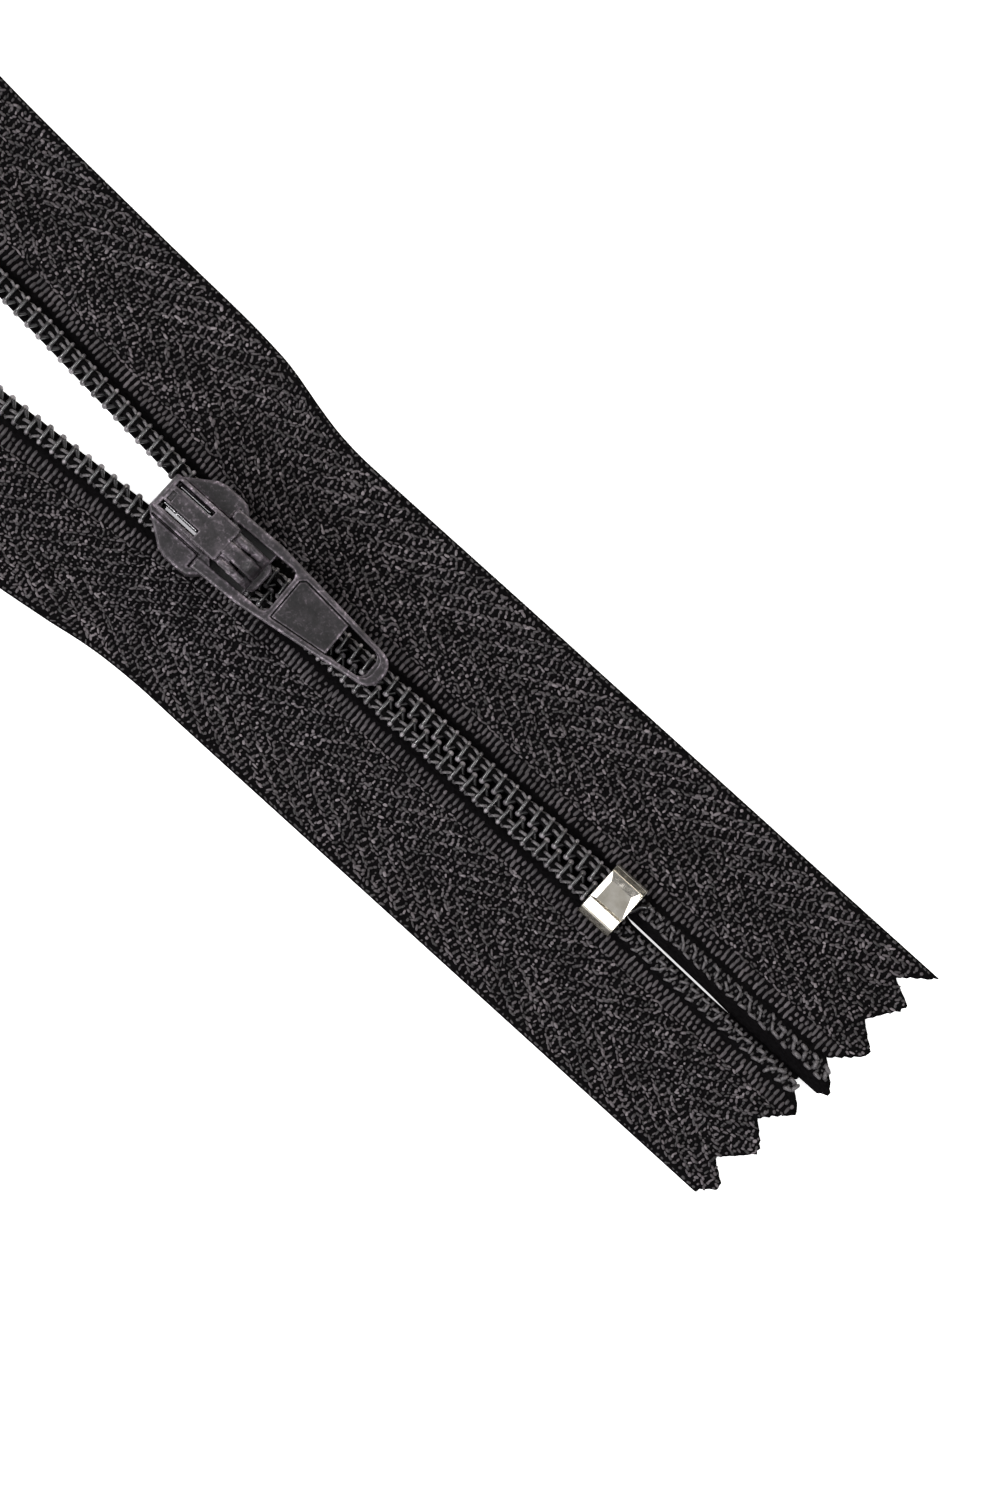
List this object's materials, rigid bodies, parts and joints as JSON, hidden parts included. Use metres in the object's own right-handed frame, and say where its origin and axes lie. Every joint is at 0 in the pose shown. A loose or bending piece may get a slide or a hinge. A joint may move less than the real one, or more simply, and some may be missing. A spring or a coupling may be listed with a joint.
{
  "type": "zipper",
  "caption": "Closed-end nylon coil zipper lying flat and partly open, with an auto-lock slider, a windowed pull tab, metal stops and pinked tapes.",
  "frame": {"origin": "under the middle of the zipper's box, on the surface that it lies on", "axes": "+X along the chain towards the open end, +Y to the left tape seen from the front with the open end up, +Z out of the zipper's front face"},
  "size_m": [0.1422, 0.0382, 0.0069],
  "materials": {
    "tape": "black woven polyester tape",
    "coil": "black nylon monofilament, semi-gloss",
    "cord": "black polyester core string",
    "thread": "black multifilament sewing thread with a slight sheen",
    "stop_metal": "bright nickel plate with a warm tint, satin in the middle",
    "slider_paint": "warm dark grey enamel on die-cast zinc, slightly glossy",
    "spring_metal": "bright spring steel"
  },
  "bodies": {
    "base": {"bottom_stop": "stop_metal", "left_tape_end": "tape", "left_stitching_end": "thread", "right_tape_end": "tape", "right_stitching_end": "thread"},
    "lower_left": {"left_tape_lower": "tape", "left_coil_lower": "coil", "left_cord_lower": "cord", "left_stitching_lower": "thread"},
    "lower_right": {"right_tape_lower": "tape", "right_coil_lower": "coil", "right_cord_lower": "cord", "right_stitching_lower": "thread"},
    "upper_left": {"left_tape_upper": "tape", "left_coil_upper": "coil", "left_cord_upper": "cord", "left_stitching_upper": "thread", "left_top_stop": "stop_metal"},
    "upper_right": {"right_tape_upper": "tape", "right_coil_upper": "coil", "right_cord_upper": "cord", "right_stitching_upper": "thread", "right_top_stop": "stop_metal"},
    "crossing": {"left_coil_crossing": "coil", "right_coil_crossing": "coil"},
    "slider": {"slider_body": "slider_paint", "slider_cap": "slider_paint"},
    "lock_spring": {"lock_spring": "spring_metal"},
    "pull_tab": {"pull_tab": "slider_paint"}
  },
  "joints": [
    {"name": "slider_to_bottom", "type": "slide", "parent": "base", "child": "crossing", "axis": [1, 0, 0], "range_m": [-0.0353, 0], "deforming": ["left_tape_lower", "left_coil_lower", "left_cord_lower", "left_stitching_lower", "right_tape_lower", "right_coil_lower", "right_cord_lower", "right_stitching_lower", "left_tape_upper", "left_coil_upper", "left_cord_upper", "left_stitching_upper", "right_tape_upper", "right_coil_upper", "right_cord_upper", "right_stitching_upper", "left_coil_crossing", "right_coil_crossing"]},
    {"name": "slider_to_top", "type": "slide", "parent": "crossing", "child": "slider", "axis": [1, 0, 0], "range_m": [0, 0.0527]},
    {"name": "lower_left_parting", "type": "hinge", "parent": "base", "child": "lower_left", "pos_m": [-0.05498, 0, 0], "axis": [0, 0, 1], "range_deg": [0, 4.2]},
    {"name": "lower_right_parting", "type": "hinge", "parent": "base", "child": "lower_right", "pos_m": [-0.05498, 0, 0], "axis": [0, 0, 1], "range_deg": [-4.2, 0]},
    {"name": "upper_left_parting", "type": "hinge", "parent": "lower_left", "child": "upper_left", "pos_m": [-0.01967, 0, 0], "axis": [0, 0, 1], "range_deg": [-4.2, 0]},
    {"name": "upper_right_parting", "type": "hinge", "parent": "lower_right", "child": "upper_right", "pos_m": [-0.01967, 0, 0], "axis": [0, 0, 1], "range_deg": [0, 4.2]},
    {"name": "pull_tab_swing", "type": "hinge", "parent": "slider", "child": "pull_tab", "pos_m": [-0.00738, 0, 0.00525], "axis": [-0.0286, 0.9996, 0], "range_deg": [0, 155]},
    {"name": "lock_spring_lift", "type": "slide", "parent": "slider", "child": "lock_spring", "axis": [0, 0, 1], "range_m": [0, 0.0004]}
  ],
  "couplings": [
    {"joint": "lower_left_parting", "follows": "slider_to_bottom", "rad_per_m": -2.075},
    {"joint": "lower_right_parting", "follows": "slider_to_bottom", "rad_per_m": 2.075},
    {"joint": "upper_left_parting", "follows": "slider_to_top", "rad_per_m": -1.39},
    {"joint": "upper_right_parting", "follows": "slider_to_top", "rad_per_m": 1.39},
    {"joint": "lock_spring_lift", "follows": "pull_tab_swing", "m_per_rad": 0.000147}
  ]
}
